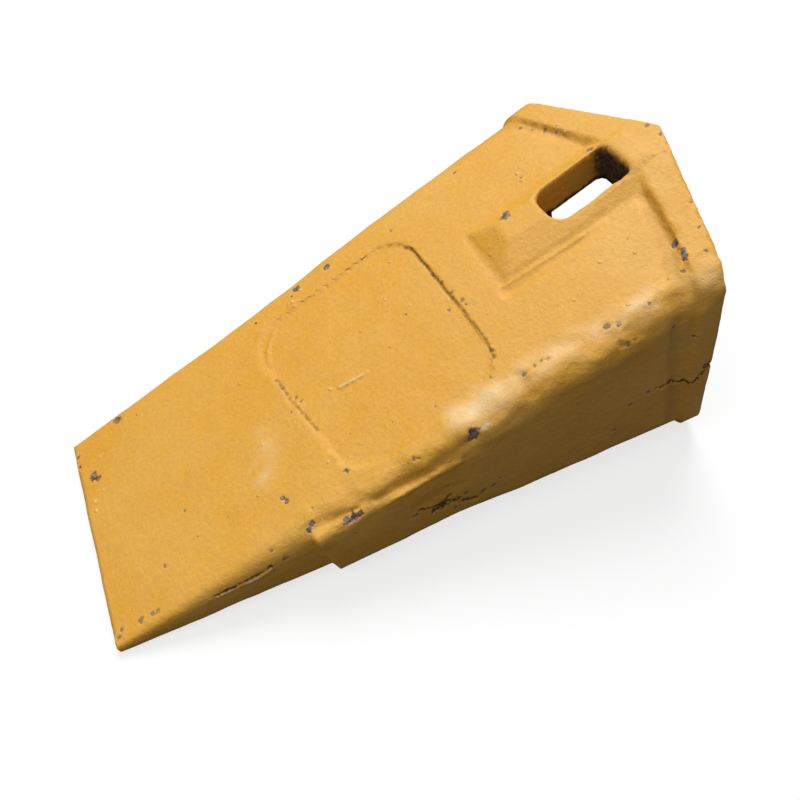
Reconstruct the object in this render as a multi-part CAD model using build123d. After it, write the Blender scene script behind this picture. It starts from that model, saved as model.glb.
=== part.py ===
"""Bucket tooth for an excavator: a one-piece steel casting with a blunt blade in front and a
tapered socket behind, which slides over the nose of an adapter and is held by an upright pin.

The tooth is drawn about its middle plane, with X along it, the tip at -length and the point of
the V-shaped rear edge at 0. At the end it is laid on its lower lands, as it rests on a floor.
All sizes are in millimetres.
"""
import os
from math import atan, degrees

from build123d import *

# Overall size
length = 280.0
tip_width = 106.0
tip_thickness = 5.0
tip_rounding = 1.8
tip_crown = 0.1

# Wedge-shaped body: half slopes are the same above and below the middle plane
body_height = 111.4
body_width = 136.4
body_crown = 5.0
body_corner = 12.0
parting_bulge = 0.5

# Shoulder, where the socket box stands out from the sides of the blade
shoulder_from_rear = 192.0
blade_width_at_shoulder = 118.6
blade_corner = 9.5
cheek_end_from_rear = 110.0
box_width_at_cheek_end = 129.4
box_corner = 10.5

# Cheeks: low ledges along the sides, from the shoulder to the full box
cheek_width = 125.0
cheek_height = 34.0
cheek_end_height = 52.0
cheek_inset = 0.2
cheek_ramp = 2.6
cheek_corner = 3.5

# Raised band round the mouth, with its V-shaped rear edge
rim_raise = 4.6
rim_height = body_height + 2 * rim_raise
rim_side_raise = 1.0
rim_width = body_width + 2 * rim_side_raise
rim_crown = 7.2
rim_corner = 12.0
rim_ridge = 90.0
vee_depth = 23.5
band_width = 18.5
side_band_width = 13.0
rim_slope = 4.0
vee_point_clearance = 1.0

# Boss round the pin slot, flush with the band
boss_front_from_rear = 71.4
boss_top_width = 17.6
boss_front_run = 10.5
boss_side_run = 7.0
boss_rounding = 2.0

# Pin slot through the upper and lower walls
slot_length = 34.0
slot_width = 20.0
slot_front_corner = 7.0
slot_rear_corner = 3.5
slot_rear = 19.5
slot_edge_flare = 1.4

# Nose socket
socket_depth = 125.0
socket_width = 112.0
socket_height = 88.0
socket_front_width = 84.0
socket_front_height = 40.0
socket_land = 25.0
socket_land_height = 46.0
socket_crown = 1.5
socket_corner = 10.0
socket_floor_rounding = 6.0

# Bare recess on the upper face of the blade. Its front edge runs a little askew
pad_length = 75.5
pad_skew = 14.5
pad_width = 93.0
pad_corner = 16.0
pad_depth = 0.8
pad_rear_from_rear = 101.5
pad_offset = -3.5

# How far a cutter or a buried end reaches past the surface that it must clear
overrun = 5.0

# How near a drawn corner must lie to its nominal place to be picked for rounding
near = 0.01


def taper(x, at_tip, at_rear):
    """A size that runs evenly from the tip to the rear, read at x."""
    return at_tip + (at_rear - at_tip) * (length + x) / length


def body_half_height(x):
    return taper(x, tip_thickness, body_height) / 2


def land_half_height(x):
    """The plane of the boss and the band, which also passes through the tip's edge."""
    return taper(x, tip_thickness, rim_height) / 2


def crown_at(x):
    return taper(x, tip_crown, body_crown)


def section(x, half_width, half_height, crown, corner, bulge=parting_bulge, ridge=None):
    """A cross-section at x. Its top and bottom are bowed by the crown, or meet in a soft ridge
    of the given radius. Its four corners are round, and each side stands out by the bulge at
    the parting line."""
    edge = half_height - crown
    if ridge is None:
        top = ThreePointArc((-half_width, edge), (0, half_height), (half_width, edge))
        bottom = ThreePointArc((half_width, -edge), (0, -half_height), (-half_width, -edge))
    else:
        top = Polyline((-half_width, edge), (0, half_height), (half_width, edge))
        bottom = Polyline((half_width, -edge), (0, -half_height), (-half_width, -edge))
    right = Polyline((half_width, edge), (half_width + bulge, 0), (half_width, -edge))
    left = Polyline((-half_width, -edge), (-half_width - bulge, 0), (-half_width, edge))
    outline = make_face([top, right, bottom, left])
    if ridge is not None:
        outline = fillet(outline.vertices().filter_by(lambda v: abs(v.X) < near), ridge)

    def is_corner(v):
        return abs(abs(v.X) - half_width) < near and abs(abs(v.Y) - edge) < near

    upright = Plane(origin=(x, 0, 0), x_dir=(0, 1, 0), z_dir=(1, 0, 0))
    return upright * fillet(outline.vertices().filter_by(is_corner), corner)


def tapered(*sections):
    """Straight-sided solid through a row of cross-sections."""
    runs = [loft([front, rear], ruled=True) for front, rear in zip(sections, sections[1:])]
    return Part() + runs


def vee_shape(front, side_front, side, back):
    """A V-shaped area seen from above, from its point at front, and from side_front at the
    sides, to a straight line at back."""
    points = [(front, 0), (side_front, side), (back, side), (back, -side), (side_front, -side)]
    return make_face(Polyline(*points, close=True))


def wedge_body():
    """The blade and, behind it, the walls of the socket box, without their extras."""
    shoulder = -shoulder_from_rear
    cheek_end = -cheek_end_from_rear
    return tapered(
        section(-length, tip_width / 2, tip_thickness / 2, crown_at(-length), tip_rounding),
        section(
            shoulder,
            blade_width_at_shoulder / 2,
            body_half_height(shoulder),
            crown_at(shoulder),
            blade_corner,
        ),
        box_section(cheek_end),
        section(0, body_width / 2, body_half_height(0), body_crown, body_corner),
    )


def box_section(x):
    half_width = box_width_at_cheek_end / 2
    return section(x, half_width, body_half_height(x), crown_at(x), box_corner)


def cheeks():
    """The side walls' front ends: from the shoulder back they stand out as a low ledge beside
    the blade's rounded corner, until the box's own corner takes them in."""
    shoulder = -shoulder_from_rear
    end = -cheek_end_from_rear

    def ledge(x, half_width, height):
        return section(x, half_width, height / 2, crown_at(x), cheek_corner)

    half_width = cheek_width / 2
    end_half_width = box_width_at_cheek_end / 2 - cheek_inset
    return tapered(
        ledge(shoulder - cheek_ramp, half_width - 2 * cheek_ramp, cheek_height - cheek_ramp),
        ledge(shoulder, half_width, cheek_height),
        ledge(end, end_half_width, cheek_end_height),
    )


def rim_band():
    """Raised band round the mouth. Its front face slopes down to the body."""
    half_width = rim_width / 2
    side_front = -(vee_depth + side_band_width)

    def ring(x):
        height = land_half_height(x)
        return section(x, half_width, height, rim_crown, rim_corner, ridge=rim_ridge)

    side = half_width + overrun
    cut_side_front = -band_width + (side_front + band_width) * side / half_width
    outline = vee_shape(-band_width, cut_side_front, side, overrun)
    block = tapered(ring(side_front - overrun), ring(overrun))
    band = block & extrude(outline, rim_height, both=True)
    front_edges = band.edges().filter_by(lambda e: is_on_band_front(e.center(), side_front))
    return chamfer(front_edges, rim_slope)


def is_on_band_front(point, side_front):
    """True on the band's V-shaped front edge, but not at the point of the V."""
    across = abs(point.Y)
    front = -band_width + (side_front + band_width) * across / (rim_width / 2)
    return abs(point.X - front) < vee_point_clearance and across > vee_point_clearance


def boss():
    """Flat-topped boss round the slot, with a sloping front and sloping sides, on the upper
    wall. Its top lies in the same plane as the band."""
    front_x = -boss_front_from_rear
    top_plane = land_plane(front_x)
    raise_height = land_half_height(front_x) - body_half_height(front_x)
    depth = raise_height + overrun
    spread = depth / raise_height
    top_length = boss_front_from_rear - band_width / 2
    top = Pos(top_length / 2, 0) * Rectangle(top_length, boss_top_width)
    foot_length = top_length + boss_front_run * spread
    foot_width = boss_top_width + 2 * boss_side_run * spread
    foot = Pos(top_length - foot_length / 2, 0, -depth) * Rectangle(foot_length, foot_width)
    block = loft([top_plane * foot, top_plane * top], ruled=True)
    crests = block.edges().filter_by(lambda e: e.center().Z > body_half_height(e.center().X))
    side_crests = [e for e in crests if e.center().X < -band_width]
    return fillet(side_crests, boss_rounding)


def pin_slot():
    """Upright slot for the locking pin, through both walls, with flared edges."""
    middle = -(slot_rear + slot_length / 2)
    hole = Pos(middle, 0) * slot_outline(0)
    top_plane = land_plane(middle)
    foot = top_plane * Pos(0, 0, -2 * slot_edge_flare) * slot_outline(-slot_edge_flare)
    head = top_plane * Pos(0, 0, slot_edge_flare) * slot_outline(2 * slot_edge_flare)
    flare = loft([foot, head], ruled=True)
    return extrude(hole, rim_height, both=True) + flare + mirror(flare, Plane.XY)


def slot_outline(grow):
    """The slot's outline, larger all round by grow. Its rear corners are the tighter ones."""
    outline = Rectangle(slot_length + 2 * grow, slot_width + 2 * grow)
    front = outline.vertices().filter_by(lambda v: v.X < 0)
    outline = fillet(front, slot_front_corner + grow)
    rear = outline.vertices().sort_by(Axis.X)[-2:]
    return fillet(rear, slot_rear_corner + grow)


def land_angle():
    """The lands' slope, in degrees, from the middle plane."""
    return degrees(atan((rim_height - tip_thickness) / 2 / length))


def land_plane(x):
    """The plane of the upper lands, with its origin over x."""
    return Plane(origin=(x, 0, land_half_height(x))).rotated((0, -land_angle(), 0))


def nose_socket():
    """Tapered hollow for the adapter's nose. Its front end is a short, flatter land."""
    mouth_x = overrun
    land_x = -(socket_depth - socket_land)

    def hollow(x, width, height):
        return section(x, width / 2, height / 2, socket_crown, socket_corner, bulge=0.0)

    grow = overrun / (socket_depth - socket_land)
    land_width = socket_width + (socket_front_width - socket_width) * -land_x / socket_depth
    mouth_width = socket_width + (socket_width - land_width) * grow
    mouth_height = socket_height + (socket_height - socket_land_height) * grow
    space = tapered(
        hollow(-socket_depth, socket_front_width, socket_front_height),
        hollow(land_x, land_width, socket_land_height),
        hollow(mouth_x, mouth_width, mouth_height),
    )
    floor = space.faces().sort_by(Axis.X)[0]
    return fillet(floor.edges(), socket_floor_rounding)


def rear_vee():
    """What is cut away behind the V-shaped rear edge."""
    side = rim_width / 2 + overrun
    side_front = -vee_depth * side / (rim_width / 2)
    outline = vee_shape(0, side_front, side, 2 * overrun)
    return extrude(outline, rim_height, both=True)


def pad_recess(body):
    """What is cut from the body's upper face to leave a bare recess that follows its crown."""
    rear = -pad_rear_from_rear
    front = rear - pad_length
    far_side = pad_offset + pad_width / 2
    near_side = pad_offset - pad_width / 2
    far_front = (front - pad_skew / 2, far_side)
    near_front = (front + pad_skew / 2, near_side)
    outline = make_face(
        Polyline((rear, near_side), (rear, far_side), far_front, near_front, close=True)
    )
    outline = fillet(outline.vertices(), pad_corner)
    return (body & extrude(outline, rim_height)) - Pos(0, 0, -pad_depth) * body


def tooth():
    wedge = wedge_body()
    upper_boss = boss()
    outside = wedge - pad_recess(wedge) + cheeks() + rim_band()
    outside += upper_boss
    outside += mirror(upper_boss, Plane.XY)
    return outside - rear_vee() - nose_socket() - pin_slot()


def lay_down(part):
    """Turns the tooth until its lower lands are level, and centres it over the origin."""
    turned = Rot(0, -land_angle(), 0) * part
    box = turned.bounding_box()
    centre = box.center()
    return Pos(-centre.X, -centre.Y, -box.min.Z) * turned


os.makedirs("parts", exist_ok=True)
export_step(lay_down(tooth()), "parts/tooth_casting.step")
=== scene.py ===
from math import radians

import bpy
import numpy as np
from mathutils import Euler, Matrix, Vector, noise


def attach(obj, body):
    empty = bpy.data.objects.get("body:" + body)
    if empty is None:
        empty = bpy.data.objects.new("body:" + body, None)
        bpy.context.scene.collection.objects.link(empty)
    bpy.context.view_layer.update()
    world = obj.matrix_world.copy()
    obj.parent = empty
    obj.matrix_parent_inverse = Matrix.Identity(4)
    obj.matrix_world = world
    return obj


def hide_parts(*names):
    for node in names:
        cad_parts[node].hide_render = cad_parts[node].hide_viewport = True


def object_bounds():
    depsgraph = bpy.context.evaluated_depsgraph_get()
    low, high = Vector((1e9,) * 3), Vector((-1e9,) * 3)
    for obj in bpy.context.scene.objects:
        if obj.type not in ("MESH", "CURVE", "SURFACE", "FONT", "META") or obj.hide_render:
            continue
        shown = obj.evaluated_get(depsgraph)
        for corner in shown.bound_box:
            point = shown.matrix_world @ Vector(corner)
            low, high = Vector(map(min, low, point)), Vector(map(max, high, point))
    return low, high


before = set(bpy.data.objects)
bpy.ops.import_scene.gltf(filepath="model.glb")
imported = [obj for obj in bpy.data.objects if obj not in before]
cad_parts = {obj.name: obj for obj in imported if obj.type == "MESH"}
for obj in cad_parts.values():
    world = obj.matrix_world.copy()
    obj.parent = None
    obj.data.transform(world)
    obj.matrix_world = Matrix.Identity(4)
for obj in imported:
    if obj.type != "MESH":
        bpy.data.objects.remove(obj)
cad_box = [list(corner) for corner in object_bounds()]

# The camera stands above the tooth's near side, towards the tip, and looks back and down at
# about 51 degrees. Its lens is a phone's: wide, so the rear of the tooth looks large.
viewpoint = bpy.data.objects.new("viewpoint", bpy.data.cameras.new("viewpoint"))
bpy.context.scene.collection.objects.link(viewpoint)
viewpoint.location = (-0.07434, -0.18906, 0.26685)
viewpoint.rotation_euler = Euler((radians(38.862), radians(2.691), radians(-25.333)))
viewpoint.data.sensor_width = 36
viewpoint.data.lens = 31.5
viewpoint.data.clip_start = 0.01
viewpoint.data.clip_end = 50
bpy.context.scene.camera = viewpoint

# The tooth is one steel casting. Its edges left the mould a little rounded, its skin is uneven,
# and it was brushed with thick yellow paint. The skin is remade here from the casting's solid.
MM = 0.001
bpy.ops.object.select_all(action="DESELECT")
tooth = bpy.data.objects.new("tooth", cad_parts["tooth_casting"].data.copy())
bpy.context.scene.collection.objects.link(tooth)
bpy.context.view_layer.objects.active = tooth
tooth.select_set(True)
tooth.data.materials.clear()
bpy.ops.object.mode_set(mode="EDIT")
bpy.ops.mesh.select_all(action="SELECT")
bpy.ops.mesh.remove_doubles(threshold=0.001 * MM)
bpy.ops.mesh.normals_make_consistent(inside=False)
bpy.ops.object.mode_set(mode="OBJECT")

skin = tooth.modifiers.new("even skin", "REMESH")
skin.mode = "SHARP"
skin.octree_depth = 8
skin.scale = 0.7
skin.sharpness = 1.0
skin.use_remove_disconnected = False
bpy.ops.object.modifier_apply(modifier=skin.name)
soft = tooth.modifiers.new("mould-soft edges", "SMOOTH")
soft.factor = 0.5
soft.iterations = 1
bpy.ops.object.modifier_apply(modifier=soft.name)


def read_rows(mesh, name):
    """The mesh's points ("co") or the way they face ("normal"), as rows of X, Y and Z."""
    flat = np.zeros(len(mesh.vertices) * 3)
    mesh.vertices.foreach_get(name, flat)
    return flat.reshape(-1, 3)


def distance(points, line):
    """How far each point is from a broken line, or from a single spot."""
    line = np.array(line, float).reshape(-1, 3)
    if len(line) == 1:
        return np.linalg.norm(points - line[0], axis=1)
    nearest = np.full(len(points), 1e9)
    for start, end in zip(line, line[1:]):
        run = end - start
        share = np.clip((points - start) @ run / (run @ run), 0, 1)
        away = points - start - share[:, None] * run
        nearest = np.minimum(nearest, np.linalg.norm(away, axis=1))
    return nearest


def smooth_step(low, high, value):
    share = np.clip((value - low) / (high - low), 0, 1)
    return share * share * (3 - 2 * share)


def roughly(points, size, seed):
    """Smooth random numbers about 0, for features of the given size in millimetres."""
    shift = Vector((seed * 17.3, seed * 5.1, seed * 9.7))
    return np.array([noise.noise(Vector(p) / size + shift) for p in points])


# The marks listed here were picked in the photograph, and their places were carried onto
# the tooth's surface, in millimetres. Each line has its half width, and its depth or height.
grooves = [
    ([(22.5, 32.9, 72.2), (24.4, 29.1, 72.8), (24.7, 16.9, 73.4), (24.6, -1.2, 73.7),
      (24.8, -11.1, 74), (25.1, -21.2, 74), (25.3, -28.5, 73.9), (25, -34.9, 73.4),
      (23.7, -39.6, 72.6)], 0.8, 0.5),
    ([(-48.5, 11.8, 44), (-47.6, 4.3, 43.6), (-46.8, -2.4, 43.9), (-45.4, -9.5, 44.4),
      (-44, -16.3, 44.9), (-43, -21.6, 45.2)], 0.75, 0.4),
]
folds = [
    ([(5.3, -61.9, 59.5), (2, -61.9, 58), (-5, -61.9, 54.5), (-15.1, -61.6, 50),
      (-25.1, -61, 46), (-33.5, -60.9, 43.2)], 1.9, 0.8),
    ([(-13.4, -50.1, 56.9), (-19.6, -50, 54.4), (-25.6, -49.4, 51.1)], 1.1, 0.2),
    ([(-2, -64.2, 36), (-10, -64.3, 35), (-20, -64.2, 32)], 2.5, 0.4),
    ([(27.5, -53.3, 73.1), (27.3, -57.3, 72.4), (27.9, -60.9, 70.8)], 1.8, 0.8),
    ([(86, 61, 95.5), (92.1, 50.4, 99.4), (95.6, 37.6, 102), (98.4, 27.3, 104.5)], 2.2, 0.5),
    ([(99.1, -22.4, 104.9), (96.2, -34.6, 102.5), (94.5, -41, 101.3), (90, -51.2, 98.5),
      (87.2, -57.6, 96.6), (85, -63.3, 92.7), (83.6, -66.6, 86.4), (84.6, -67, 79.3),
      (88.6, -67.3, 63.4), (92.3, -67.4, 49.8), (96.4, -67.3, 34.5), (101.1, -67.1, 19.2)],
     2.4, 1.0),
    ([(42.1, -14.8, 81.2), (52.6, -15.5, 85.6), (63.4, -16.2, 90), (74.4, -17, 94.5),
      (85.9, -17.1, 99.4)], 1.0, 0.4),
    ([(43.5, 15.2, 81.8), (42.3, -13.7, 81.3)], 1.6, 0.5),
]
ridges = [
    ([(-23.4, 43.6, 53.2), (-15.4, 42.4, 56.4), (-2.2, 43, 61.8), (9.1, 44.2, 66.3)], 1.3, 0.35),
    ([(-28.7, 43.1, 51.1), (-34.8, 42, 48.6), (-39.3, 39.5, 46.7), (-43.3, 34.7, 44.7),
      (-46.8, 29.6, 43.6), (-48.7, 22.5, 43.7)], 1.3, 0.5),
    ([(-27.7, -10.5, 51.7), (-24.3, -11.1, 53.1), (-21.1, -12, 54.4), (-16.4, -12.5, 56.3)],
     1.0, 0.7),
    ([(-30, 46, 51), (-26, 44.5, 53)], 1.2, 0.5),
    ([(-100.9, -56.4, 16.7), (-97.4, -56.7, 17.4), (-93.5, -56.9, 18.6), (-89.2, -57.3, 19.4),
      (-83.8, -57.7, 20.5), (-78.7, -58, 23)], 0.6, 0.5),
    ([(-1.8, -63.9, 51), (-12, -63.6, 48), (-22.2, -63.2, 45), (-32.1, -62.4, 42.6)], 1.3, 0.5),
    ([(88, -68, 45.5), (97, -69, 44.5), (108, -69.7, 46.5)], 1.3, 0.4),
    ([(42, -17, 80.6), (52.6, -17.8, 85), (63.4, -18.6, 89.4), (74.4, -19.2, 94)], 0.7, 0.3),
]
cracks = [
    ([(-18.5, -63.9, 28.2), (-15.1, -64, 27.1), (-11.6, -64, 26.2), (-8.6, -64.1, 27.6),
      (-6.5, -64.2, 31.5)], 0.9, 1.0),
    ([(-8.6, -64.1, 27.6), (-2.8, -64.2, 24.8), (1.7, -64.1, 21.4), (6.9, -64.2, 19.8)],
     1.2, 1.2),
    ([(-12.5, -64, 23.4), (-7.5, -64, 24)], 1.5, 1.2),
    ([(85, -67.2, 48.6), (91.1, -67.3, 48), (97.8, -67.5, 46.2), (102.5, -69.6, 45.5),
      (105.5, -69.7, 49.2), (108, -69.7, 52.4)], 0.9, 0.8),
    ([(-102.2, -56, 17.3), (-95.8, -56.7, 18.9), (-83.5, -57.7, 22.3), (-78, -58, 24.5)],
     0.5, 0.4),
]
# Chips, where the paint is gone, and fainter specks, where it is only broken: the middle and
# the radius.
chips = [
    ((-136.9, 29.1, 7.6), 2.6), ((-135.2, 26.7, 8.2), 1.7), ((-119.6, 50.1, 14.3), 2.4),
    ((-142.2, 44.7, 5.3), 1.1), ((-142.2, 39.1, 5.3), 1.0), ((-65.4, -39.2, 36.3), 1.4),
    ((-64.6, -41.1, 36.5), 1.3), ((-59.1, -55.1, 36.9), 1.2), ((-60.9, -56.1, 35.4), 1.3),
    ((-40.1, -45.4, 45.5), 1.5), ((-44.4, -61.2, 39.7), 2.6), ((-47, -60.6, 38.4), 2.1),
    ((-42, -61.5, 40.2), 1.7), ((-51, -61, 36.3), 1.1), ((5.5, -61.3, 60.5), 2.2),
    ((3.6, -61.7, 59.2), 1.6), ((-24.1, 52.5, 52.3), 1.9), ((-27.1, 50.1, 51.3), 1.1),
    ((-8, 52.4, 58.8), 1.9), ((57.2, 9.6, 91), 2.4), ((58.8, 11.8, 90.6), 2.0),
    ((97.9, 13, 106.7), 1.7), ((94.7, -45.5, 101.5), 1.6), ((94.5, -49.9, 101.6), 1.5),
    ((93.2, -52.6, 101.0), 1.6), ((90.8, -56.2, 98.2), 1.1), ((106.6, -69.7, 53.4), 2.6),
    ((-57.8, -60, 33), 1.2), ((-9, -64, 25.5), 1.9), ((-56.5, -61.5, 30), 1.2),
]
specks = [
    ((-102.7, -17, 21.6), 0.8), ((-57, -50.6, 39.2), 0.8), ((-76.5, -54.8, 30), 0.9),
    ((-72.5, -58.3, 26.2), 1.3), ((-116.7, -33.7, 15.7), 1.2), ((-124.1, -49.1, 12.6), 1.4),
    ((-126.2, -49, 11.7), 1.4), ((-131.3, -48.6, 9.7), 1.6), ((-139.8, -47.4, 6.3), 1.3),
    ((-141.5, -49.2, 5.6), 1.3), ((-78.7, -57.9, 24.3), 1.2), ((22.2, 46.7, 71.5), 1.4),
    ((24.7, 9.6, 73.3), 1.2), ((24.8, 6.2, 74.3), 1.2), ((24.9, 2.7, 74.3), 1.2),
    ((26, -4.6, 74.8), 1.1), ((27.1, -10.9, 75.2), 1.2), ((27.4, -13.7, 75.2), 1.0),
    ((21.5, -10.6, 72), 0.9), ((24.8, -38, 73.1), 1.5), ((24, -40.9, 72.6), 1.3),
    ((-17.1, -56.8, 54), 1.1), ((-15.6, -57.6, 54.3), 0.9), ((-1.7, -43.6, 61.1), 0.7),
    ((56.3, -5.9, 91), 1.1), ((69.3, -9.5, 96.2), 1.0), ((74.5, 25.5, 94.2), 0.9),
    ((90.4, 53, 98.4), 1.1), ((92.6, 46.8, 100), 1.3), ((95.3, 41, 101.6), 1.3),
    ((96.6, 35.7, 103), 1.2), ((116.5, 4.2, 116.3), 1.2), ((117, -3.6, 116.6), 1.1),
    ((103, -46.3, 106), 0.9), ((99.2, -55.5, 103.4), 0.9), ((107.4, -36, 109.1), 0.9),
    ((84.8, -32.3, 98), 0.7), ((60.3, -57, 85.9), 1.4), ((63.9, -58.8, 86.8), 1.3),
    ((62.4, -64.3, 81.9), 1.5), ((64.5, -64.6, 81.6), 1.2), ((67.5, -64.8, 82), 1.0),
    ((75.7, -59.2, 91.5), 0.9), ((36.7, -53.6, 76.8), 1.1), ((33.6, -54, 75.5), 1.1),
    ((28.9, -54.5, 73.6), 1.1), ((38.6, -54.3, 77.5), 1.0), ((93.6, -67.9, 74.7), 1.1),
    ((83.5, -67, 82.8), 1.0), ((74.1, -66.8, 43.6), 1.2), ((69.8, -66.4, 29), 1.3),
    ((58.2, -66.3, 47.9), 0.8), ((16.3, -64.6, 27.9), 1.0), ((81.4, -67.1, 48), 1.2),
    ((-6.4, -64.1, 37.2), 0.9), ((58.5, 53.9, 85.5), 1.3), ((-48.8, 12.1, 43.8), 1.1),
    ((-47.6, 6.8, 43.5), 1.2), ((-44.7, -1.9, 44.7), 1.2), ((-43.5, -4.7, 45.3), 0.9),
    ((-49, -7.1, 43.8), 0.7), ((-20.5, -64, 26), 1.6), ((9.5, -64.3, 22.5), 2.0),
    ((1, -64.1, 27.5), 1.6), ((-3, -64.1, 18.5), 1.5), ((14, -64.4, 24), 1.4),
]
# Nibs, where a grain of sand or a drip stands proud under the paint.
nibs = [
    ((-131.7, 36.6, 9.6), 0.9), ((-134, 18.9, 8.7), 0.8), ((-138.6, 15.6, 6.9), 1.1),
    ((-139, 11, 6.7), 1.1), ((-44.6, -37.5, 44.9), 0.9), ((-28, 46.3, 51.1), 1.3),
    ((98.9, 37.3, 105.2), 1.1), ((96.5, 35.4, 102.7), 0.9), ((98.3, 31.2, 105.2), 1.2),
    ((74.6, 28.4, 94.1), 1.0), ((73.9, 23.7, 94), 1.1), ((4.3, 13.9, 64.8), 0.7),
    ((14.7, 30.9, 68.5), 0.8), ((6.3, 43, 65.2), 1.0), ((-22.5, 49.9, 53.2), 1.0),
    ((-64.5, -12.4, 37.3), 0.7), ((-31.5, -8.5, 50), 1.2), ((11, 3.4, 67.7), 0.7),
    ((72.5, -33.6, 92.9), 0.8), ((57.7, -40.9, 86.3), 0.7), ((113.5, -11.2, 114.4), 0.7),
]
# Painted sheen and highlights: pale colour laid where light glints on the coat, broad along the
# near upper corner and the rim, narrow on dashes and ridges: a line, its half width, and how pale
# it is.
painted_sheen_lines = [
    ([(-103.9, -55.9, 16.9), (-97.4, -56.7, 17.4), (-93.5, -56.9, 18.6)], 0.8, 1.0),
    ([(-89.2, -57.3, 19.4), (-83.8, -57.7, 20.5), (-78.7, -58, 23)], 0.7, 1.0),
    ([(-27.7, -10.5, 51.7), (-21.1, -12, 54.4), (-16.4, -12.5, 56.3)], 0.9, 0.5),
    ([(9.5, -61.4, 62.4), (11, -61.2, 63)], 1.6, 1.2),
    ([(3.7, -53.2, 63.5), (11.7, -53.4, 66.7), (19.1, -54.7, 69.6)], 7.0, 0.55),
    ([(19.1, -54.7, 69.6), (36.1, -54.1, 76.6), (57.8, -56.7, 84.9), (76.5, -58, 92.2)],
     6.0, 0.4),
    ([(90, -64, 100), (100, -64, 103)], 6.0, 0.35),
    ([(-68, -26, 36), (-62, -10, 38)], 7.0, 0.25),
    ([(24, -36, 73.5), (26.5, -40, 74.5)], 1.5, 0.5),
]

# The skin is made finer along the marks, so that their edges are crisp.
for reach in (2.6, 1.2):
    points = read_rows(tooth.data, "co") / MM
    close = np.full(len(points), 1e9)
    for line, half_width, height in grooves + ridges + cracks:
        close = np.minimum(close, distance(points, line) - half_width)
    for centre, radius in chips + specks + nibs:
        close = np.minimum(close, distance(points, [centre]) - radius)
    bpy.ops.object.mode_set(mode="EDIT")
    bpy.ops.mesh.select_mode(type="VERT")
    bpy.ops.mesh.select_all(action="DESELECT")
    bpy.ops.object.mode_set(mode="OBJECT")
    tooth.data.vertices.foreach_set("select", close < reach)
    bpy.ops.object.mode_set(mode="EDIT")
    bpy.ops.mesh.select_mode(type="FACE")
    bpy.ops.mesh.subdivide(number_cuts=1)
    bpy.ops.object.mode_set(mode="OBJECT")

# The pad's edge is soft: its small step is smoothed out on its own.
points = read_rows(tooth.data, "co") / MM
edge = tooth.vertex_groups.new(name="pad edge")
close = np.full(len(points), 1e9)
for line, half_width, height in grooves + ridges[:2]:
    close = np.minimum(close, distance(points, line))
edge.add(np.flatnonzero(close < 3).tolist(), 1.0, "REPLACE")
worn_step = tooth.modifiers.new("pad edge", "SMOOTH")
worn_step.factor = 0.5
worn_step.iterations = 8
worn_step.vertex_group = edge.name
bpy.ops.object.modifier_apply(modifier=worn_step.name)
tooth.vertex_groups.clear()

# The far cheek's upper edge is worn down to a sloping plane, and so is the near flank of the
# boss, which thins the near lip of the pin slot.
points = read_rows(tooth.data, "co") / MM
slope = np.array((-0.3028, 0.6632, 0.6845))
proud = np.clip(points @ slope - 79.78, 0, None) * (points[:, 1] > 40)
proud *= smooth_step(-78, -66, points[:, 0]) * (1 - smooth_step(-24, -8, points[:, 0]))
points -= proud[:, None] * slope
slope = np.array((-0.3934, -0.2523, 0.8841))
proud = np.clip(points @ slope - 58.9, 0, None) * (abs(points[:, 1] + 9) < 14)
proud *= smooth_step(38, 42, points[:, 0]) * (1 - smooth_step(76, 92, points[:, 0]))
proud *= points[:, 2] > 60
points -= proud[:, None] * slope
tooth.data.vertices.foreach_set("co", (points * MM).ravel())
tooth.data.update()
normals = read_rows(tooth.data, "normal")

# The casting's waves and lumps, then the marks. The near corner was hammered: its lumps are
# deeper, and drawn out along the tooth.
lumpy = 1 - smooth_step(3, 17, distance(points, [(-57, -58, 38), (100, -64, 99)]))
lift = 0.25 * roughly(points, 16, 1)
lift += (0.12 + 0.9 * lumpy) * roughly(points * (0.6, 1, 0.8), 6, 2)
lift += 0.35 * lumpy * roughly(points * (0.5, 1, 0.8), 2.5, 6)
bare = np.zeros(len(points))
hollow_shade = np.zeros(len(points))
painted_highlight = np.zeros(len(points))
ragged = roughly(points, 1.5, 3) + 0.6 * roughly(points, 0.6, 4)
# Grooves, folds and cracks are also darkened in colour along their hollows: painted shade.
for line, half_width, depth in grooves:
    away = distance(points, line) + 0.7 * half_width * ragged
    lift -= depth * (1 - smooth_step(0, 1.6 * half_width, away))
    hollow_shade = np.maximum(hollow_shade, 0.6 * (1 - smooth_step(0.1, 1.4 * half_width, away)))
for line, half_width, depth in folds:
    away = distance(points, line) + 0.5 * half_width * roughly(points, 7, 7)
    lift -= depth * (1 - smooth_step(0, 1.8 * half_width, away))
    hollow_shade = np.maximum(hollow_shade, 0.18 * depth * (1 - smooth_step(0, 1.8 * half_width, away)))
for line, half_width, height in ridges:
    away = distance(points, line) + 0.3 * half_width * ragged
    lift += height * (1 - smooth_step(0, 1.7 * half_width, away))
for line, half_width, depth in cracks:
    away = distance(points, line) + 1.3 * half_width * ragged
    lift -= depth * (1 - smooth_step(0, 1.3 * half_width, away))
    hollow_shade = np.maximum(hollow_shade, 1 - smooth_step(0.3 * half_width, 1.2 * half_width, away))
for marks, share in ((chips, 1.0), (specks, 0.6)):
    for centre, radius in marks:
        away = distance(points, [centre]) + (0.3 * radius + 0.4) * ragged
        gone = 1 - smooth_step(0.55 * radius, 1.15 * radius, away)
        lift -= 0.35 * share * gone
        bare = np.maximum(bare, share * gone)
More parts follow.
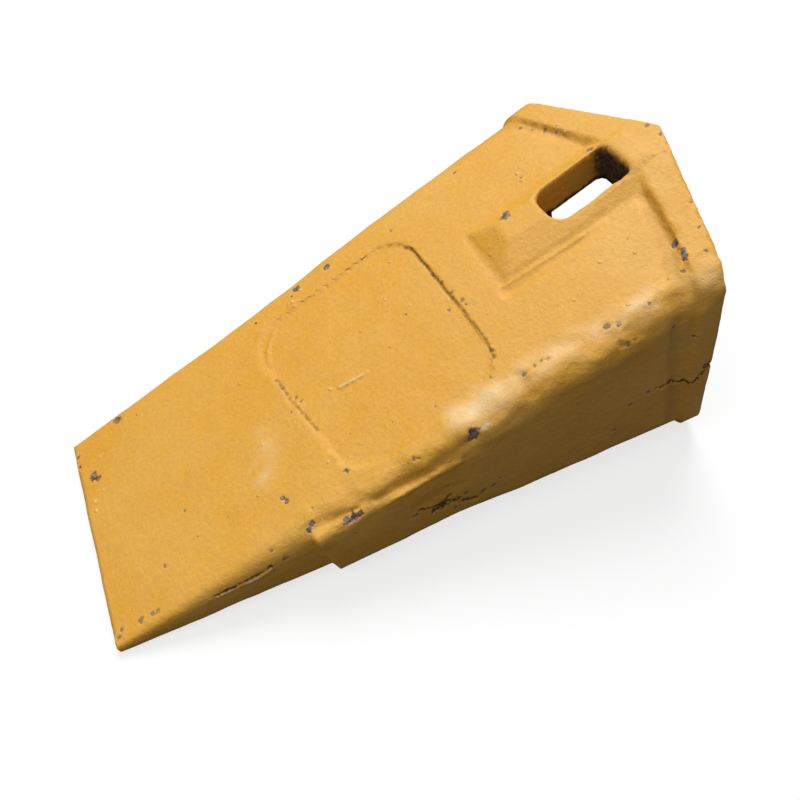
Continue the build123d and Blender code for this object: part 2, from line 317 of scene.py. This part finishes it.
# Each nib's top is also painted pale: a painted highlight.
for centre, radius in nibs:
    gone = 1 - smooth_step(0, radius, distance(points, [centre]) + 0.3 * radius * ragged)
    lift += 0.6 * gone
    painted_highlight = np.maximum(painted_highlight, 0.6 * gone)
blotch = 0.8 + 1.2 * roughly(points * (0.6, 1, 0.8), 5, 8)
for line, half_width, strength in painted_sheen_lines:
    away = distance(points, line) + 0.5 * half_width * ragged * (half_width < 3)
    painted_highlight = np.maximum(painted_highlight, strength * blotch * (1 - smooth_step(0, 1.4 * half_width, away)))

# Unpainted places: the inside of the socket, behind a ragged edge of overspray, and the rear
# end of the pin slot. The places here are measured along the tooth's own sloping middle line.
from_mouth = 0.97935 * (points[:, 0] - 131.316) + 0.20217 * (points[:, 2] - 59.055)
above = -0.20217 * (points[:, 0] - 131.316) + 0.97935 * (points[:, 2] - 59.055)
half_width = 56.8 + 14 * from_mouth / 125
half_height = 45.8 + 21 * np.clip(from_mouth, -100, 0) / 100
inside = (abs(points[:, 1]) < half_width) & (abs(above) < half_height) & (from_mouth > -126)
overspray = -9 + 12 * roughly(points, 9, 5) + 3 * ragged
scale = inside * (1 - smooth_step(overspray - 7, overspray, from_mouth))
in_slot = (abs(points[:, 1]) < 11) & (from_mouth > -54) & (from_mouth < -17) & ~inside
slot_end = in_slot * smooth_step(-24.5, -21, from_mouth + 1.5 * ragged)
slot_end *= 1 - smooth_step(53, 56.5, abs(above) + 1.2 * ragged)
scale = np.maximum(scale, slot_end)

lift *= 1 - 0.6 * in_slot
points = np.clip((points + normals * lift[:, None]) * MM, *cad_box)
tooth.data.vertices.foreach_set("co", points.ravel())
tooth.data.update()
for name, values in (("bare", bare), ("hollow_shade", hollow_shade), ("painted_highlight", painted_highlight), ("scale", scale)):
    layer = tooth.data.attributes.new(name, "FLOAT", "POINT")
    layer.data.foreach_set("value", np.clip(values, 0, 1).astype(np.float32))

bpy.ops.object.shade_smooth()
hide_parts("tooth_casting")
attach(tooth, "root")


def linear(code):
    """A colour written as an sRGB hex code, in the linear numbers that a shader takes."""
    parts = [int(code[i:i + 2], 16) / 255 for i in (1, 3, 5)]
    return tuple(c / 12.92 if c <= 0.04045 else ((c + 0.055) / 1.055) ** 2.4 for c in parts) + (1,)


def add_node(tree, kind, settings=None, inputs=None):
    """A new node with its settings, and with a value or a link for each input named."""
    made = tree.nodes.new(kind)
    for name, value in (settings or {}).items():
        setattr(made, name, value)
    for name, value in (inputs or {}).items():
        if isinstance(value, bpy.types.NodeSocket):
            tree.links.new(value, made.inputs[name])
        else:
            made.inputs[name].default_value = value
    return made


# Enamel machine paint, brushed on over a rough casting. It is thick, so it softens the sand
# grain into an orange peel, and it dries to a satin gloss. Where it has chipped off, brown
# primer and grey steel show. The socket's inside has only the casting's dark scale.
paint = bpy.data.materials.new("brushed yellow enamel on cast steel")
paint.use_nodes = True
tree = paint.node_tree
tree.nodes.clear()
where = add_node(tree, "ShaderNodeTexCoord").outputs["Object"]

# Pattern scales are per metre: 20 is about 50 mm across, 120 is 8 mm, 520 is 2 mm, and 1400
# is 0.7 mm, the casting's sand grain, drawn a little coarser than life so that it shows.
patches = add_node(tree, "ShaderNodeTexNoise", None,
                   {"Vector": where, "Scale": 20.0, "Detail": 3.0, "Roughness": 0.55})
mottle = add_node(tree, "ShaderNodeTexNoise", None,
                  {"Vector": where, "Scale": 120.0, "Detail": 5.0, "Roughness": 0.62})
peel = add_node(tree, "ShaderNodeTexNoise", None,
                {"Vector": where, "Scale": 520.0, "Detail": 3.0, "Roughness": 0.6})
sand = add_node(tree, "ShaderNodeTexNoise", None,
                {"Vector": where, "Scale": 1400.0, "Detail": 2.0, "Roughness": 0.6})

# Colour of the coat: two tones in broad patches, and a dustier third in small ones.
broad = add_node(tree, "ShaderNodeMapRange", None,
                 {"Value": patches.outputs["Fac"], "From Min": 0.38, "From Max": 0.62})
coat = add_node(tree, "ShaderNodeMix", {"data_type": "RGBA"},
                {"Factor": broad.outputs["Result"], "A": linear("#DDA02E"),
                 "B": linear("#DFA741")})
small = add_node(tree, "ShaderNodeMapRange", None,
                 {"Value": mottle.outputs["Fac"], "From Min": 0.4, "From Max": 0.75,
                  "To Max": 0.6})
dusty = add_node(tree, "ShaderNodeMix", {"data_type": "RGBA"},
                 {"Factor": small.outputs["Result"], "A": coat.outputs["Result"],
                  "B": linear("#DAA34A")})
fine = add_node(tree, "ShaderNodeMapRange", None,
                {"Value": peel.outputs["Fac"], "From Min": 0.2, "From Max": 0.8,
                 "To Min": 0.9, "To Max": 1.08})
grained = add_node(tree, "ShaderNodeMix", {"data_type": "RGBA", "blend_type": "MULTIPLY"},
                   {"Factor": 1.0, "A": dusty.outputs["Result"], "B": fine.outputs["Result"]})

# Pinholes and nibs: a sparse scatter of dots about 1 mm across, some dark and some raised.
scatter = add_node(tree, "ShaderNodeTexVoronoi", None, {"Vector": where, "Scale": 130.0})
dot = add_node(tree, "ShaderNodeMapRange", None,
               {"Value": scatter.outputs["Distance"], "From Min": 0.1, "From Max": 0.06})
kind = add_node(tree, "ShaderNodeSeparateColor", None, {"Color": scatter.outputs["Color"]})
is_hole = add_node(tree, "ShaderNodeMath", {"operation": "LESS_THAN"},
                   {0: kind.outputs["Red"], 1: 0.04})
is_nib = add_node(tree, "ShaderNodeMath", {"operation": "GREATER_THAN"},
                  {0: kind.outputs["Green"], 1: 0.8})
hole = add_node(tree, "ShaderNodeMath", {"operation": "MULTIPLY"},
                {0: dot.outputs["Result"], 1: is_hole.outputs["Value"]})
nib = add_node(tree, "ShaderNodeMath", {"operation": "MULTIPLY"},
               {0: dot.outputs["Result"], 1: is_nib.outputs["Value"]})

bare_mask = add_node(tree, "ShaderNodeAttribute", {"attribute_name": "bare"})
hollow_shade_mask = add_node(tree, "ShaderNodeAttribute", {"attribute_name": "hollow_shade"})
scale_mask = add_node(tree, "ShaderNodeAttribute", {"attribute_name": "scale"})
painted_highlight_mask = add_node(tree, "ShaderNodeAttribute", {"attribute_name": "painted_highlight"})
# Painted sheen and highlights: the pale mask lifts the coat towards a pale cream.
highlighted_coat = add_node(tree, "ShaderNodeMix", {"data_type": "RGBA"},
                  {"Factor": painted_highlight_mask.outputs["Fac"], "A": grained.outputs["Result"],
                   "B": linear("#EFD3A4")})

# The masks' edges are broken up by the peel, so that chips have crumbling rims.
crumb = add_node(tree, "ShaderNodeMapRange", None,
                 {"Value": peel.outputs["Fac"], "From Min": 0.3, "From Max": 0.7,
                  "To Min": -0.3, "To Max": 0.3})
broken = add_node(tree, "ShaderNodeMath", {"operation": "ADD"},
                  {0: bare_mask.outputs["Fac"], 1: crumb.outputs["Result"]})
flaked = add_node(tree, "ShaderNodeMapRange", None,
                  {"Value": broken.outputs["Value"], "From Min": 0.35, "From Max": 0.65})
worn = add_node(tree, "ShaderNodeMath", {"operation": "MAXIMUM"},
                {0: flaked.outputs["Result"], 1: hole.outputs["Value"]})
metal_share = add_node(tree, "ShaderNodeMapRange", None,
                       {"Value": peel.outputs["Fac"], "From Min": 0.4, "From Max": 0.6})
steel = add_node(tree, "ShaderNodeMix", {"data_type": "RGBA"},
                 {"Factor": broad.outputs["Result"], "A": linear("#99805F"),
                  "B": linear("#8A7C80")})
metal = add_node(tree, "ShaderNodeMix", {"data_type": "RGBA"},
                 {"Factor": metal_share.outputs["Result"], "A": linear("#553726"),
                  "B": steel.outputs["Result"]})
chipped = add_node(tree, "ShaderNodeMix", {"data_type": "RGBA"},
                   {"Factor": worn.outputs["Value"], "A": highlighted_coat.outputs["Result"],
                    "B": metal.outputs["Result"]})
# Painted shade in the hollows of grooves, folds and cracks: one dark brown, laid by its mask.
shaded_hollows = add_node(tree, "ShaderNodeMix", {"data_type": "RGBA"},
                 {"Factor": hollow_shade_mask.outputs["Fac"], "A": chipped.outputs["Result"],
                  "B": linear("#54370F")})
cast_scale = add_node(tree, "ShaderNodeMix", {"data_type": "RGBA"},
                      {"Factor": metal_share.outputs["Result"], "A": linear("#2E2118"),
                       "B": linear("#5A4230")})
colour = add_node(tree, "ShaderNodeMix", {"data_type": "RGBA"},
                  {"Factor": scale_mask.outputs["Fac"], "A": shaded_hollows.outputs["Result"],
                   "B": cast_scale.outputs["Result"]})

unpainted = add_node(tree, "ShaderNodeMath", {"operation": "MAXIMUM"},
                     {0: worn.outputs["Value"], 1: scale_mask.outputs["Fac"]})
dull = add_node(tree, "ShaderNodeMapRange", None,
                {"Value": mottle.outputs["Fac"], "From Min": 0.3, "From Max": 0.7,
                 "To Min": 0.52, "To Max": 0.64})
finish = add_node(tree, "ShaderNodeMix", None,
                  {"Factor": unpainted.outputs["Value"], "A": dull.outputs["Result"], "B": 0.8})

sanded = add_node(tree, "ShaderNodeBump", None,
                  {"Height": sand.outputs["Fac"], "Strength": 0.35, "Distance": 0.0003})
peeled = add_node(tree, "ShaderNodeBump", None,
                  {"Height": peel.outputs["Fac"], "Strength": 0.35, "Distance": 0.0008,
                   "Normal": sanded.outputs["Normal"]})
nibbed = add_node(tree, "ShaderNodeBump", None,
                  {"Height": nib.outputs["Value"], "Strength": 0.8, "Distance": 0.0004,
                   "Normal": peeled.outputs["Normal"]})
holed = add_node(tree, "ShaderNodeBump", {"invert": True},
                 {"Height": hole.outputs["Value"], "Strength": 0.8, "Distance": 0.0004,
                  "Normal": nibbed.outputs["Normal"]})
waved = add_node(tree, "ShaderNodeBump", None,
                 {"Height": mottle.outputs["Fac"], "Strength": 0.25, "Distance": 0.0015,
                  "Normal": holed.outputs["Normal"]})
enamel = add_node(tree, "ShaderNodeBsdfPrincipled", None,
                  {"Base Color": colour.outputs["Result"], "Roughness": finish.outputs["Result"],
                   "Normal": waved.outputs["Normal"], "IOR": 1.5})
add_node(tree, "ShaderNodeOutputMaterial", None, {"Surface": enamel.outputs["BSDF"]})
tooth.data.materials.append(paint)

# The floor is a plain pale sheet. The camera sees it nearly white, with the tooth's shadow,
# and it throws little light back, as the dark ground does under the real tooth's near side.
bpy.ops.object.select_all(action="DESELECT")
bpy.ops.mesh.primitive_circle_add(vertices=96, radius=6, fill_type="NGON", location=(0, 0, 0))
floor = bpy.context.object
floor.name = "floor"
sheet = bpy.data.materials.new("matt white board")
sheet.use_nodes = True
tree = sheet.node_tree
tree.nodes.clear()
path = add_node(tree, "ShaderNodeLightPath")
board = add_node(tree, "ShaderNodeMix", {"data_type": "RGBA"},
                 {"Factor": path.outputs["Is Camera Ray"], "A": linear("#606060"),
                  "B": linear("#F2F2F2")})
matt = add_node(tree, "ShaderNodeBsdfDiffuse", None, {"Color": board.outputs["Result"]})
white = add_node(tree, "ShaderNodeEmission", None, {"Color": (1, 1, 1, 1), "Strength": 1.0})
glow = add_node(tree, "ShaderNodeMath", {"operation": "MULTIPLY"},
                {0: path.outputs["Is Camera Ray"], 1: 0.75})
lit = add_node(tree, "ShaderNodeMixShader", None,
               {0: glow.outputs["Value"], 1: matt.outputs["BSDF"], 2: white.outputs["Emission"]})
add_node(tree, "ShaderNodeOutputMaterial", None, {"Surface": lit.outputs["Shader"]})
floor.data.materials.append(sheet)

# The studio is dim and pale all round. The camera sees it as white.
room = bpy.data.worlds.new("room")
bpy.context.scene.world = room
room.use_nodes = True
tree = room.node_tree
tree.nodes.clear()
path = add_node(tree, "ShaderNodeLightPath")
seen = add_node(tree, "ShaderNodeMath", {"operation": "MAXIMUM"},
                {0: path.outputs["Is Camera Ray"], 1: path.outputs["Is Transmission Ray"]})
air = add_node(tree, "ShaderNodeMapRange", None,
               {"Value": seen.outputs["Value"], "To Min": 0.22, "To Max": 1.0})
sky = add_node(tree, "ShaderNodeBackground", None,
               {"Color": (1, 1, 1, 1), "Strength": air.outputs["Result"]})
add_node(tree, "ShaderNodeOutputWorld", None, {"Surface": sky.outputs["Background"]})

# Two soft lamps: a large one above, behind and beyond the tooth, which leaves its near side
# in shade, and a weaker one overhead, which puts the sheen on its near upper edge.
for name, place_at, watts, width in (
    ("lamp beyond", (0.5, 1.0, 2.2), 53.0, 1.2),
    ("lamp overhead", (-1.0, -0.2, 2.1), 14.0, 1.0),
):
    lamp = bpy.data.objects.new(name, bpy.data.lights.new(name, "AREA"))
    bpy.context.scene.collection.objects.link(lamp)
    lamp.location = place_at
    lamp.rotation_euler = Vector(place_at).to_track_quat("Z", "Y").to_euler()
    lamp.data.shape = "DISK"
    lamp.data.size = width
    lamp.data.energy = watts

bpy.context.scene.view_settings.view_transform = "Standard"
